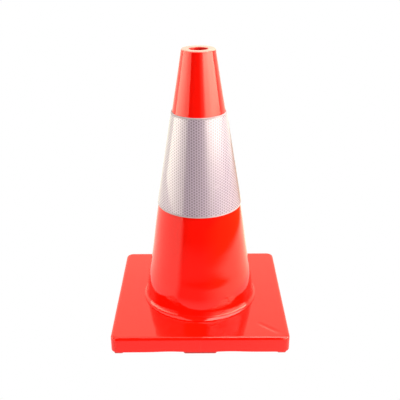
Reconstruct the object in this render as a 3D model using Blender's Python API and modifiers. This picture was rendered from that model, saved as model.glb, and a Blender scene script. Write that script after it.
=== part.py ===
"""Traffic cone: a soft PVC cone on a square ballasted base, with a slip-on reflective collar.

Metres, +Z up.  The origin is on the floor, at the middle of the base.  The base's sides face
along X and Y.
"""

import math

import bmesh
import bpy

# Overall sizes
BASE_SIDE = 0.280
BASE_TOP = 0.031
HEIGHT = 0.448

# Seating gaps, and the room that the cone below needs when the cones are nested
SEAT_GAP = 0.0003
BALLAST_CLEARANCE = 0.0006
OPENING_CLEARANCE = 0.0009
NECK_CLEARANCE = 0.0012

# Cone wall, at its outer face.  A rise is a height above the base top, and an inset is what the
# radius has lost since the stretch below.
CONE_WALL = 0.0025
FOOT_RADIUS = 0.0900
KNEE_RISE = 0.045
KNEE_INSET = 0.0040
SHIN_RISE = 0.071
SHIN_INSET = 0.0050
WAIST_RISE = 0.161
WAIST_INSET = 0.0129
TOP_RADIUS = 0.0262

# Flare that the cone's foot turns out into, and rests on the base with.  The tilts are those
# of its face, in degrees from upright, where it leaves the wall and at its rim.
FLARE_ROUND = 0.0100
FLARE_TOP_TILT = 6
FLARE_RIM_TILT = 60
FLARE_RIM = 0.0010

# Lip at the top of the cone, and the hole through it
LIP_ROUND = 0.0020
LIP_THICKNESS = 0.0065
HOLE_RADIUS = 0.0145
HOLE_ROUND = 0.0015

# Base cover: top skin, outer skirt and round neck under the cone
COVER_WALL = 0.0030
CORNER_RADIUS = 0.0120
RIM_ROUND = 0.0045
SKIRT_CLEARANCE = 0.0050
NECK_WALL = 0.0025

# Floor plate that closes the base from below, with its moulded feet
FLOOR_THICKNESS = 0.0020
FOOT_SETBACK = 0.0006
CORNER_FOOT = 0.0150
SIDE_FOOT_LENGTH = 0.0600
SIDE_FOOT_WIDTH = 0.0120
FOOT_ROUND = 0.0040

# Ballast slab inside the base
BALLAST_THICKNESS = 0.0120

# Slip-on reflective collar
COLLAR_LOW = 0.201
COLLAR_HEIGHT = 0.152
BACKING_THICKNESS = 0.0005
FILM_THICKNESS = 0.0003
FILM_BORDER = 0.0025

# Fineness of round shapes
TURNS = 72
ARC_STEPS = 5
WALL_STEPS = 4
CORNER_STEPS = 6
RIM_STEPS = 3
CUT_MARGIN = 0.010
MERGE = 0.00001

PVC_ORANGE = (0.95, 0.035, 0.012, 1.0)
BALLAST_GREY = (0.030, 0.029, 0.028, 1.0)
BACKING_WHITE = (0.82, 0.80, 0.80, 1.0)
FILM_SILVER = (0.66, 0.60, 0.62, 1.0)


def clear_scene():
    for obj in list(bpy.data.objects):
        bpy.data.objects.remove(obj, do_unlink=True)


def new_collection(name):
    collection = bpy.data.collections.new(name)
    bpy.context.scene.collection.children.link(collection)
    return collection


def new_material(name, colour, roughness, metallic=0.0):
    material = bpy.data.materials.new(name)
    material.use_nodes = True
    shader = material.node_tree.nodes["Principled BSDF"]
    shader.inputs["Base Color"].default_value = colour
    shader.inputs["Roughness"].default_value = roughness
    shader.inputs["Metallic"].default_value = metallic
    return material


def new_object(name, mesh, collection, material=None):
    obj = bpy.data.objects.new(name, mesh)
    collection.objects.link(obj)
    if material is not None:
        mesh.materials.append(material)
    return obj


def mark_as_cutter(obj):
    obj.hide_render = True
    obj.display_type = "WIRE"


def shade_round(obj):
    """Smooth shading that keeps edges sharper than 40 degrees."""
    obj.data.shade_smooth()
    obj.data.set_sharp_from_angle(angle=math.radians(40))


# ---------------------------------------------------------------- outlines


def flare_drop():
    """Height of the flare's hollow face, down to its rim."""
    rim, top = math.radians(FLARE_RIM_TILT), math.radians(FLARE_TOP_TILT)
    return FLARE_ROUND * (math.sin(rim) - math.sin(top))


def flare_top():
    return BASE_TOP + SEAT_GAP + FLARE_RIM + flare_drop()


def flare_radius():
    rim, top = math.radians(FLARE_RIM_TILT), math.radians(FLARE_TOP_TILT)
    return FOOT_RADIUS + FLARE_ROUND * (math.cos(top) - math.cos(rim))


def opening_radius():
    """Radius of the opening in the cover's skin, just wider than the inside of the cone's foot."""
    return FOOT_RADIUS - CONE_WALL + OPENING_CLEARANCE


def neck_radius():
    """Inner radius of the cover's neck, which takes the flare of the cone below."""
    return flare_radius() + NECK_CLEARANCE


def wall_stations():
    """(height, outer radius) where the cone's wall changes its slope, from the foot up."""
    knee = FOOT_RADIUS - KNEE_INSET
    shin = knee - SHIN_INSET
    waist = shin - WAIST_INSET
    return [
        (flare_top(), FOOT_RADIUS),
        (BASE_TOP + KNEE_RISE, knee),
        (BASE_TOP + SHIN_RISE, shin),
        (BASE_TOP + WAIST_RISE, waist),
        (HEIGHT - LIP_ROUND, TOP_RADIUS),
    ]


def station_slopes(stations):
    """Change of radius per metre of height at each station, for a smooth curve through them all.

    Above the waist the wall is straight, so both ends of the last stretch keep its slope.
    """
    stretches = [
        (high[1] - low[1]) / (high[0] - low[0])
        for low, high in zip(stations, stations[1:])
    ]
    inner = [(before + after) / 2 for before, after in zip(stretches, stretches[1:])]
    slopes = [stretches[0]] + inner + [stretches[-1]]
    slopes[-2] = stretches[-1]
    return slopes


def wall_radius(height):
    """Outer radius of the cone's wall at a height."""
    stations = wall_stations()
    slopes = station_slopes(stations)
    last = len(stations) - 2
    index = 0
    while index < last and height > stations[index + 1][0]:
        index += 1
    (low, low_radius), (high, high_radius) = stations[index], stations[index + 1]
    span = high - low
    t = (height - low) / span
    return (
        low_radius * (2 * t**3 - 3 * t**2 + 1)
        + high_radius * (3 * t**2 - 2 * t**3)
        + slopes[index] * span * (t**3 - 2 * t**2 + t)
        + slopes[index + 1] * span * (t**3 - t**2)
    )


def arc(centre_x, centre_z, radius, start, end, steps=ARC_STEPS):
    """Points of an arc from start to end, in degrees from +X towards +Z."""
    points = []
    for step in range(steps + 1):
        angle = math.radians(start + (end - start) * step / steps)
        points.append(
            (
                centre_x + radius * math.cos(angle),
                centre_z + radius * math.sin(angle),
            )
        )
    return points


def wall_heights():
    """Heights of the rings of the cone's wall, from the lip down to the flare.

    The last stretch is straight, so it has no rings between its ends.
    """
    places = [height for height, radius in wall_stations()]
    heights = []
    for low, high in zip(places[:-2], places[1:]):
        heights += [low + (high - low) * step / WALL_STEPS for step in range(WALL_STEPS)]
    heights += places[-2:]
    return heights[::-1]


def cone_outline():
    """Closed section of the cone: down the outer side, and up the inner side."""
    heights = wall_heights()
    seat = BASE_TOP + SEAT_GAP
    ceiling = HEIGHT - LIP_THICKNESS
    inner_top = ceiling - CONE_WALL
    points = arc(HOLE_RADIUS + HOLE_ROUND, HEIGHT - HOLE_ROUND, HOLE_ROUND, 180, 90)
    points += arc(TOP_RADIUS - LIP_ROUND, HEIGHT - LIP_ROUND, LIP_ROUND, 90, 0)
    points += [(wall_radius(height), height) for height in heights[1:-1]]
    points += arc(
        FOOT_RADIUS + FLARE_ROUND * math.cos(math.radians(FLARE_TOP_TILT)),
        flare_top() + FLARE_ROUND * math.sin(math.radians(FLARE_TOP_TILT)),
        FLARE_ROUND,
        180 + FLARE_TOP_TILT,
        180 + FLARE_RIM_TILT,
    )
    points.append((flare_radius(), seat))
    points.append((FOOT_RADIUS - CONE_WALL, seat))
    points += [
        (wall_radius(height) - CONE_WALL, height)
        for height in heights[::-1]
        if height < inner_top
    ]
    points.append((wall_radius(inner_top) - CONE_WALL, inner_top))
    points.append((wall_radius(ceiling) - 2 * CONE_WALL, ceiling))
    points.append((HOLE_RADIUS, ceiling))
    return points


def sleeve_outline(low, high, inner, outer):
    """Closed section of a thin sleeve round the cone, from inner to outer off the wall's face.

    It bends where the wall does.
    """
    bends = [height for height in wall_heights() if low < height < high]
    heights = [high] + bends + [low]
    down = [(wall_radius(height) + outer, height) for height in heights]
    up = [(wall_radius(height) + inner, height) for height in heights[::-1]]
    return down + up


# ---------------------------------------------------------------- shapes


def turned(name, outline, collection, material=None):
    """A closed outline turned about Z by a Screw modifier."""
    mesh = bpy.data.meshes.new(name)
    shape = bmesh.new()
    corners = [shape.verts.new((radius, 0.0, height)) for radius, height in outline]
    for first, second in zip(corners, corners[1:] + corners[:1]):
        shape.edges.new((first, second))
    shape.to_mesh(mesh)
    shape.free()
    obj = new_object(name, mesh, collection, material)
    screw = obj.modifiers.new("Turn", "SCREW")
    screw.steps = TURNS
    screw.render_steps = TURNS
    screw.use_merge_vertices = True
    screw.merge_threshold = MERGE
    screw.use_smooth_shade = True
    return obj


def round_bar(name, radius, low, high, collection):
    """A cylinder about Z, with its sides in step with the turned pieces."""
    bpy.ops.mesh.primitive_cylinder_add(
        vertices=TURNS, radius=radius, depth=high - low, location=(0, 0, (low + high) / 2)
    )
    obj = bpy.context.active_object
    obj.name = name
    obj.rotation_euler.z = math.radians(90)
    move_to(obj, collection)
    return obj


def move_to(obj, collection):
    for old in list(obj.users_collection):
        old.objects.unlink(obj)
    collection.objects.link(obj)


def square_block(name, centre, size, corner_radius, collection, rim=None, material=None):
    """A block with rounded upright corners and, if rim is given, a rounded top edge.

    Args:
        centre: middle of the block's underside.
        size: length, width and height.
        rim: radius of the rounding round the top edge.
    """
    mesh = bpy.data.meshes.new(name)
    shape = bmesh.new()
    bmesh.ops.create_cube(shape, size=1.0)
    bmesh.ops.scale(shape, vec=size, verts=shape.verts)
    bmesh.ops.translate(shape, vec=(0, 0, size[2] / 2), verts=shape.verts)
    upright = [
        edge
        for edge in shape.edges
        if abs(edge.verts[0].co.z - edge.verts[1].co.z) > size[2] / 2
    ]
    bmesh.ops.bevel(
        shape,
        geom=upright,
        offset=corner_radius,
        segments=CORNER_STEPS,
        profile=0.5,
        affect="EDGES",
    )
    if rim is not None:
        top = [
            edge
            for edge in shape.edges
            if all(vert.co.z > size[2] * 0.99 for vert in edge.verts)
        ]
        bmesh.ops.bevel(
            shape, geom=top, offset=rim, segments=RIM_STEPS, profile=0.5, affect="EDGES"
        )
    bmesh.ops.translate(shape, vec=centre, verts=shape.verts)
    bmesh.ops.recalc_face_normals(shape, faces=shape.faces)
    shape.to_mesh(mesh)
    shape.free()
    return new_object(name, mesh, collection, material)


def boolean(target, other, operation):
    modifier = target.modifiers.new(other.name, "BOOLEAN")
    modifier.operation = operation
    modifier.solver = "EXACT"
    modifier.object = other
    mark_as_cutter(other)


# ---------------------------------------------------------------- pieces


def build_cone_shell(parts, orange):
    """Hollow cone with its lip and flared foot, in one moulding."""
    return turned("cone_shell", cone_outline(), parts, orange)


def build_base_cover(parts, cutters, orange):
    """Square top moulding of the base: skin, skirt, and a neck round the opening for nesting."""
    cover = square_block(
        "base_cover",
        (0, 0, SKIRT_CLEARANCE),
        (BASE_SIDE, BASE_SIDE, BASE_TOP - SKIRT_CLEARANCE),
        CORNER_RADIUS,
        parts,
        rim=RIM_ROUND,
        material=orange,
    )
    inner_side = BASE_SIDE - 2 * COVER_WALL
    underside = BASE_TOP - COVER_WALL
    hollow = square_block(
        "cover_hollow",
        (0, 0, SKIRT_CLEARANCE - CUT_MARGIN),
        (inner_side, inner_side, underside - SKIRT_CLEARANCE + CUT_MARGIN),
        CORNER_RADIUS - COVER_WALL,
        cutters,
    )
    boolean(cover, hollow, "DIFFERENCE")
    middle_of_skin = BASE_TOP - COVER_WALL / 2
    neck_outer = neck_radius() + NECK_WALL
    neck = turned(
        "cover_neck",
        [
            (neck_outer, middle_of_skin),
            (neck_outer, SKIRT_CLEARANCE),
            (neck_radius(), SKIRT_CLEARANCE),
            (neck_radius(), middle_of_skin),
        ],
        cutters,
    )
    boolean(cover, neck, "UNION")
    opening = round_bar(
        "cover_opening",
        opening_radius(),
        underside - COVER_WALL,
        BASE_TOP + CUT_MARGIN,
        cutters,
    )
    boolean(cover, opening, "DIFFERENCE")
    return cover


def floor_low():
    return SKIRT_CLEARANCE + SEAT_GAP


def corner_foot_face():
    """Distance from the middle of the base to a corner foot's outer faces.

    The foot's round corner keeps the setback from the inside of the cover's round corner,
    measured along the diagonal.
    """
    corner_centre = BASE_SIDE / 2 - CORNER_RADIUS
    along_diagonal = CORNER_RADIUS - COVER_WALL - FOOT_SETBACK - FOOT_ROUND
    return corner_centre + along_diagonal / math.sqrt(2) + FOOT_ROUND


def foot_places():
    """(centre x, centre y, length along x, width along y) of each foot."""
    corner = corner_foot_face() - CORNER_FOOT / 2
    side = BASE_SIDE / 2 - COVER_WALL - FOOT_SETBACK - SIDE_FOOT_WIDTH / 2
    places = []
    for x_sign in (-1, 1):
        for y_sign in (-1, 1):
            places.append((x_sign * corner, y_sign * corner, CORNER_FOOT, CORNER_FOOT))
    for sign in (-1, 1):
        places.append((0.0, sign * side, SIDE_FOOT_LENGTH, SIDE_FOOT_WIDTH))
        places.append((sign * side, 0.0, SIDE_FOOT_WIDTH, SIDE_FOOT_LENGTH))
    return places


def build_base_floor(parts, cutters, orange):
    """Square plate that closes the base from below, with eight feet moulded on it."""
    side = BASE_SIDE - 2 * COVER_WALL - 2 * SEAT_GAP
    plate = square_block(
        "base_floor",
        (0, 0, floor_low()),
        (side, side, FLOOR_THICKNESS),
        CORNER_RADIUS - COVER_WALL,
        parts,
        material=orange,
    )
    into_plate = FLOOR_THICKNESS / 2
    for number, (x, y, length, width) in enumerate(foot_places(), start=1):
        foot = square_block(
            f"foot_{number}",
            (x, y, 0.0),
            (length, width, floor_low() + into_plate),
            FOOT_ROUND,
            cutters,
        )
        boolean(plate, foot, "UNION")
    hole = round_bar(
        "floor_hole",
        neck_radius() + NECK_WALL + SEAT_GAP,
        floor_low() - CUT_MARGIN,
        floor_low() + FLOOR_THICKNESS + CUT_MARGIN,
        cutters,
    )
    boolean(plate, hole, "DIFFERENCE")
    return plate


def build_ballast(parts, cutters, grey):
    """Heavy square slab that lies on the floor plate, round the neck."""
    low = floor_low() + FLOOR_THICKNESS + SEAT_GAP
    side = BASE_SIDE - 2 * COVER_WALL - 2 * BALLAST_CLEARANCE
    slab = square_block(
        "ballast",
        (0, 0, low),
        (side, side, BALLAST_THICKNESS),
        CORNER_RADIUS - COVER_WALL,
        parts,
        material=grey,
    )
    hole = round_bar(
        "ballast_hole",
        neck_radius() + NECK_WALL + BALLAST_CLEARANCE,
        low - CUT_MARGIN,
        low + BALLAST_THICKNESS + CUT_MARGIN,
        cutters,
    )
    boolean(slab, hole, "DIFFERENCE")
    return slab


def build_collar(parts, axis, white, silver):
    """White sleeve that seats on the cone's taper, with the reflective film round it."""
    high = COLLAR_LOW + COLLAR_HEIGHT
    backing_face = SEAT_GAP + BACKING_THICKNESS
    backing = turned(
        "collar_backing",
        sleeve_outline(COLLAR_LOW, high, SEAT_GAP, backing_face),
        parts,
        white,
    )
    film_inner = backing_face + SEAT_GAP
    film = turned(
        "collar_film",
        sleeve_outline(
            COLLAR_LOW + FILM_BORDER,
            high - FILM_BORDER,
            film_inner,
            film_inner + FILM_THICKNESS,
        ),
        parts,
        silver,
    )
    for piece in (backing, film):
        piece.parent = axis


def main():
    clear_scene()
    parts = new_collection("traffic_cone")
    cutters = new_collection("cutters")
    orange = new_material("glossy_orange_pvc", PVC_ORANGE, 0.18)
    grey = new_material("recycled_ballast", BALLAST_GREY, 0.85)
    white = new_material("collar_white_pvc", BACKING_WHITE, 0.35)
    silver = new_material("collar_prismatic_film", FILM_SILVER, 0.25)
    collar_axis = new_object("collar_axis", None, parts)
    build_cone_shell(parts, orange)
    build_base_cover(parts, cutters, orange)
    build_base_floor(parts, cutters, orange)
    build_ballast(parts, cutters, grey)
    build_collar(parts, collar_axis, white, silver)
    for obj in parts.objects:
        if obj.type == "MESH":
            shade_round(obj)


main()
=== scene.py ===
"""Traffic cone: the finished shapes and surfaces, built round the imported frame.

The cone is a turned PVC shell on a moulded square base, with a loose reflective collar that
lifts off over the tip. Every size is in metres, in the frame's own axes: +Z up, front at -Y.
"""

import logging
import math
from collections.abc import Callable, Mapping, Sequence
from dataclasses import dataclass, field
from enum import Enum
from typing import Any

import bmesh
import bpy
from mathutils import Euler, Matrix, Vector, noise


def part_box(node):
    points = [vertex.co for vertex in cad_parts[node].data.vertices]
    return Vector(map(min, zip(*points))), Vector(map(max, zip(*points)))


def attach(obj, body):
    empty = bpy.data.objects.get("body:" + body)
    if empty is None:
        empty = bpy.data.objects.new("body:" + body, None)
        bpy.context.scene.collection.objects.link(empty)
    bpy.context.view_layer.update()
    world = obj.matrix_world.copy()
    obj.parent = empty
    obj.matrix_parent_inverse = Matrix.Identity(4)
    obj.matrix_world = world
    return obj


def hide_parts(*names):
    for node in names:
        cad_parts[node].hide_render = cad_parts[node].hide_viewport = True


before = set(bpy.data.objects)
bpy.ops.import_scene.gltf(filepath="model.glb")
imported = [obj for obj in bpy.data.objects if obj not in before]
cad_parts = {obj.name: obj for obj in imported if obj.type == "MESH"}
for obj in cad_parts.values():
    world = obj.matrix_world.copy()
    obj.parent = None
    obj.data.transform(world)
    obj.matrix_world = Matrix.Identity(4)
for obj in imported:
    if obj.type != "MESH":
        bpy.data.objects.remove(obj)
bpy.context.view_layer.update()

LOG = logging.getLogger("traffic_cone")
MM = 0.001
WELD = 0.01 * MM
STRAIGHT = 1e-4  # The turn, in radians, below which an outline runs straight on.
REAL_CORNER = math.radians(30)  # The turn above which it has a real corner.
SHARP_EDGE = math.radians(35)  # The angle above which an edge stays sharp.

Triple = tuple[float, float, float]
Colour = Triple
Outline = list[tuple[float, float]]
Edges = list[bmesh.types.BMEdge]
Verts = list[bmesh.types.BMVert]


class Body(Enum):
    """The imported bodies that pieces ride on."""

    CONE = "cone"
    COLLAR = "collar"


class Slot(Enum):
    """The material slots."""

    PVC = "orange_pvc"
    BALLAST = "ballast"
    COLLAR_WHITE = "collar_white"
    COLLAR_FILM = "collar_film"


class Blend(Enum):
    """The ways in which one colour is laid over another."""

    OVER = "MIX"
    DARKEN = "MULTIPLY"


# Shader building


class Value:
    """A number that varies over a surface: a socket with arithmetic."""

    def __init__(self, graph: "Graph", socket: bpy.types.NodeSocket) -> None:
        """Keeps the output that carries the number, and the graph that it belongs to."""
        self.graph = graph
        self.socket = socket

    def maths(self, operation: str, *operands: "Value | float") -> "Value":
        """The result of one Math node, with its inputs in order."""
        made = self.graph.node("ShaderNodeMath", {"operation": operation}, dict(enumerate(operands)))
        return Value(self.graph, made.outputs[0])

    def __add__(self, other: "Value | float") -> "Value":
        """Self plus other."""
        return self.maths("ADD", self, other)

    __radd__ = __add__

    def __sub__(self, other: "Value | float") -> "Value":
        """Self minus other."""
        return self.maths("SUBTRACT", self, other)

    def __rsub__(self, other: float) -> "Value":
        """Other minus self."""
        return self.maths("SUBTRACT", other, self)

    def __mul__(self, other: "Value | float") -> "Value":
        """Self times other."""
        return self.maths("MULTIPLY", self, other)

    __rmul__ = __mul__

    def __pow__(self, other: float) -> "Value":
        """Self to the power of other."""
        return self.maths("POWER", self, other)

    def __abs__(self) -> "Value":
        """The size of self without its sign."""
        return self.maths("ABSOLUTE", self)

    def most(self, other: "Value | float") -> "Value":
        """The larger of the two."""
        return self.maths("MAXIMUM", self, other)

    def least(self, other: "Value | float") -> "Value":
        """The smaller of the two."""
        return self.maths("MINIMUM", self, other)

    def wrapped(self, period: float) -> "Value":
        """What is left of self above a whole number of periods, centred on zero."""
        return self.maths("FLOORED_MODULO", self + period / 2, period) - period / 2

    def turning_from(self, other: "Value") -> "Value":
        """The angle whose tangent is self over other, all the way round."""
        return self.maths("ARCTAN2", self, other)

    def ramp(self, start: float, stop: float, low: float = 0.0, high: float = 1.0) -> "Value":
        """Eases from one value to another between two limits.

        Args:
            start: Where the change begins.
            stop: Where it ends. It may be below the start.
            low: The value at the start.
            high: The value at the stop.

        Returns:
            The eased value.
        """
        ends = {"Value": self, "From Min": start, "From Max": stop, "To Min": low, "To Max": high}
        settings = {"interpolation_type": "SMOOTHSTEP"}
        return Value(self.graph, self.graph.node("ShaderNodeMapRange", settings, ends).outputs[0])

    def swing(self, start: float, stop: float, low: float = 0.0, high: float = 1.0) -> "Value":
        """The ramp of an angle, with its limits in degrees."""
        return self.ramp(math.radians(start), math.radians(stop), low, high)


class Graph:
    """A node tree under construction."""

    def __init__(self, tree: bpy.types.NodeTree) -> None:
        """Takes a material's or a world's node tree and empties it."""
        self.tree = tree
        tree.nodes.clear()

    def node(
        self,
        kind: str,
        settings: Mapping[str, Any] | None = None,
        inputs: Mapping[str | int, Any] | None = None,
    ) -> bpy.types.Node:
        """Adds a node.

        Args:
            kind: The node's type.
            settings: Its own properties, set before the inputs.
            inputs: A constant, a Value or a socket for each input, by name or number.

        Returns:
            The node.
        """
        made = self.tree.nodes.new(kind)
        for name, setting in (settings or {}).items():
            setattr(made, name, setting)
        for name, given in (inputs or {}).items():
            socket = made.inputs[name]
            if isinstance(given, Value):
                given = given.socket
            if isinstance(given, bpy.types.NodeSocket):
                self.tree.links.new(given, socket)
            else:
                socket.default_value = given
        return made

    def place(self) -> bpy.types.NodeSocket:
        """The point's place on the object, in metres."""
        return self.node("ShaderNodeTexCoord").outputs["Object"]

    def parts(self, vector: bpy.types.NodeSocket) -> tuple[Value, Value, Value]:
        """The three components of a vector."""
        x, y, z = self.node("ShaderNodeSeparateXYZ", None, {0: vector}).outputs
        return Value(self, x), Value(self, y), Value(self, z)

    def stretched(
        self, vector: bpy.types.NodeSocket, scale: Triple, turn: Triple = (0, 0, 0)
    ) -> bpy.types.NodeSocket:
        """Turns a pattern's coordinates, in radians, and scales them along each axis."""
        return self.node("ShaderNodeMapping", None, {0: vector, "Rotation": turn, "Scale": scale}).outputs[0]

    def noise(
        self,
        vector: bpy.types.NodeSocket,
        size: float,
        detail: float = 2.0,
        rough: float = 0.5,
        twist: float = 0.0,
    ) -> Value:
        """A cloudy pattern, from 0 to 1.

        Args:
            vector: The coordinates.
            size: The size of a patch, in metres.
            detail: The number of finer layers.
            rough: The strength of the finer layers.
            twist: How far the pattern is distorted.

        Returns:
            The pattern.
        """
        inputs = {"Vector": vector, "Scale": 1 / size, "Detail": detail, "Roughness": rough}
        made = self.node("ShaderNodeTexNoise", None, {**inputs, "Distortion": twist})
        return Value(self, made.outputs["Fac"])

    def attribute(self, name: str) -> Value:
        """A number kept on the mesh itself."""
        return Value(self, self.node("ShaderNodeAttribute", {"attribute_name": name}).outputs["Fac"])

    def mixed(
        self, factor: Value | float, under: Any, over: Any, blend: Blend = Blend.OVER
    ) -> bpy.types.NodeSocket:
        """Lays one colour over another.

        Args:
            factor: How much of the upper colour shows.
            under: The lower colour, a triple or a socket.
            over: The upper colour, a triple or a socket.
            blend: How they combine.

        Returns:
            The mixed colour.
        """
        settings = {"data_type": "RGBA", "blend_type": blend.value}
        shades = {6: under, 7: over}
        inputs = {key: (*shade, 1.0) if isinstance(shade, tuple) else shade for key, shade in shades.items()}
        return self.node("ShaderNodeMix", settings, {0: factor, **inputs}).outputs[2]

    def relief(
        self, height: Value, depth: float, under: bpy.types.NodeSocket | None = None
    ) -> bpy.types.NodeSocket:
        """Bumps the surface.

        Args:
            height: The relief, from 0 to 1.
            depth: The height in metres that 1 stands for.
            under: A normal to add it to.

        Returns:
            The bumped normal.
        """
        inputs = {"Height": height, "Distance": depth, "Strength": 1.0}
        if under is not None:
            inputs["Normal"] = under
        return self.node("ShaderNodeBump", None, inputs).outputs[0]

    def light(self, kind: str, colour: Any) -> bpy.types.NodeSocket:
        """A shader of a kind that only shines."""
        return self.node(kind, None, {"Color": colour, "Strength": 1.0}).outputs[0]

    def either(self, factor: Any, first: Any, second: Any) -> bpy.types.NodeSocket:
        """The first shader where the factor is 0 and the second where it is 1."""
        return self.node("ShaderNodeMixShader", None, {0: factor, 1: first, 2: second}).outputs[0]

    def clean_to_eye(self, kind: str, colour: Any) -> bpy.types.NodeSocket:
        """Stage light that looks plain white itself and casts another colour on the object."""
        eye = self.node("ShaderNodeLightPath").outputs["Is Camera Ray"]
        return self.either(eye, self.light(kind, colour), self.light(kind, (1, 1, 1, 1)))

    def end(self, shader: bpy.types.NodeSocket, kind: str = "ShaderNodeOutputMaterial") -> None:
        """Ends the tree in a shader."""
        self.node(kind, None, {0: shader})

    def surface(
        self, colour: Any, rough: Value, normal: Any, others: Mapping[str, Any] | None = None
    ) -> None:
        """Ends a material in a Principled shader with these inputs."""
        inputs = {"Base Color": colour, "Roughness": rough, "Normal": normal, **(others or {})}
        self.end(self.node("ShaderNodeBsdfPrincipled", None, inputs).outputs[0])


def new_graph(name: str) -> tuple[bpy.types.Material, Graph]:
    """Makes an empty node material.

    Args:
        name: The material's name.

    Returns:
        The material and its graph.
    """
    material = bpy.data.materials.new(name)
    material.use_nodes = True
    return material, Graph(material.node_tree)


# Finishes


@dataclass(frozen=True)
class GlossyPvc:
    """Soft moulded PVC: one deep colour with a wet gloss, faint flow marks, handling wear and a painted
    highlight on the cone's lip.

    Attributes:
        name: The material's name.
        colour: The main shade.
        second: The shade of the flow marks.
        speck: The shade of fine dark specks.
        wear_and_lip_highlight: The pale shade of worn edges, also laid on the cone's lip as a painted
            highlight.
        lip_highlight: The pale colour of the painted highlight on the cone's lip.
        gloss: The roughness of clean plastic.
        ripple: The depth of the slow waves that break up reflections.
        flow: How much patches stretch up the piece.
    """

    name: str
    colour: Colour = (0.90, 0.0050, 0.0012)
    second: Colour = (0.85, 0.0036, 0.0009)
    speck: Colour = (0.30, 0.004, 0.003)
    wear_and_lip_highlight: Colour = (0.95, 0.16, 0.10)
    lip_highlight: Colour = (0.96, 0.50, 0.44)
    gloss: float = 0.045
    ripple: float = 0.00028
    flow: float = 0.35

    def material(self) -> bpy.types.Material:
        """Builds the node material.

        Returns:
            The material.
        """
        material, graph = new_graph(self.name)
        place = graph.place()
        drawn = graph.stretched(place, (1.0, 1.0, self.flow))
        marks = graph.noise(drawn, 0.055, 3.0, 0.55, 0.4).ramp(0.35, 0.72)
        specks = graph.noise(place, 0.0016, 1.0).ramp(0.70, 0.80)
        # Paler on worn edges, and on the cone's lip as a painted highlight.
        wear_and_lip_highlight = (graph.attribute("wear") * graph.noise(place, 0.006, 3.0, 0.65)).ramp(0.32, 0.62)
        # Painted highlight: a pale colour laid over the face of the cone's lip.
        cut = graph.attribute("lip_highlight_share") * (0.45 + marks * 0.35)
        base = graph.mixed(marks * 0.8, self.colour, self.second)
        base = graph.mixed(specks * 0.10, base, self.speck)
        base = graph.mixed(wear_and_lip_highlight * 0.30, base, self.wear_and_lip_highlight)
        base = graph.mixed(cut, base, self.lip_highlight)
        smudges = graph.noise(place, 0.030, 4.0, 0.6, 0.5).ramp(0.50, 0.78)
        hairs = graph.stretched(place, (1.0, 1.0, 0.05), (0.35, 0.2, 0.0))
        scratches = graph.noise(hairs, 0.0011, 1.0, 0.4).ramp(0.71, 0.76)
        inside = graph.attribute("inside")
        rough = self.gloss + smudges * 0.07 + scratches * 0.10 + wear_and_lip_highlight * 0.25 + inside * 0.32
        slow = graph.noise(drawn, 0.045, 1.0, 0.4)
        peel = graph.noise(place, 0.0042, 1.5, 0.5)
        normal = graph.relief(slow, self.ripple)
        normal = graph.relief(peel, 0.022 * MM, normal)
        normal = graph.relief(1 - scratches, 0.006 * MM, normal)
        graph.surface(base, rough, normal, {"IOR": 1.5, "Specular IOR Level": 0.5})
        return material


@dataclass(frozen=True)
class BallastCompound:
    """Recycled ballast compound: dark, rough, with paler patches, crumbs and pits."""

    name: str = "ballast_compound"
    colour: Colour = (0.032, 0.030, 0.029)
    patch: Colour = (0.055, 0.048, 0.044)
    crumb: Colour = (0.16, 0.12, 0.10)

    def material(self) -> bpy.types.Material:
        """Builds the node material.

        Returns:
            The material.
        """
        material, graph = new_graph(self.name)
        place = graph.place()
        crumbs = graph.noise(place, 0.0022, 2.0).ramp(0.62, 0.70)
        cloud = graph.noise(place, 0.025, 4.0, 0.6)
        pits = graph.noise(place, 0.0035, 4.0, 0.7)
        base = graph.mixed(cloud * 0.6, self.colour, self.patch)
        base = graph.mixed(crumbs * 0.7, base, self.crumb)
        graph.surface(base, 0.72 + cloud * 0.2, graph.relief(pits, 0.6 * MM))
        return material


@dataclass(frozen=True)
class CollarSheet:
    """White PVC sheet: satin, a little grimy, with a fine tooth."""

    name: str = "collar_sheet"
    colour: Colour = (0.50, 0.41, 0.49)
    shade: Colour = (0.42, 0.33, 0.40)
    grime: Colour = (0.52, 0.44, 0.44)

    def material(self) -> bpy.types.Material:
        """Builds the node material.

        Returns:
            The material.
        """
        material, graph = new_graph(self.name)
        place = graph.place()
        cloud = graph.noise(place, 0.018, 3.0, 0.6)
        tooth = graph.noise(place, 0.0009, 2.0)
        grime = graph.noise(graph.stretched(place, (1.0, 1.0, 2.5)), 0.009, 4.0, 0.65).ramp(0.58, 0.80)
        base = graph.mixed(cloud * 0.7, self.colour, self.shade)
        base = graph.mixed(grime * 0.25, base, self.grime)
        graph.surface(base, 0.26 + cloud * 0.14 + grime * 0.12, graph.relief(tooth, 0.03 * MM))
        return material


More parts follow.
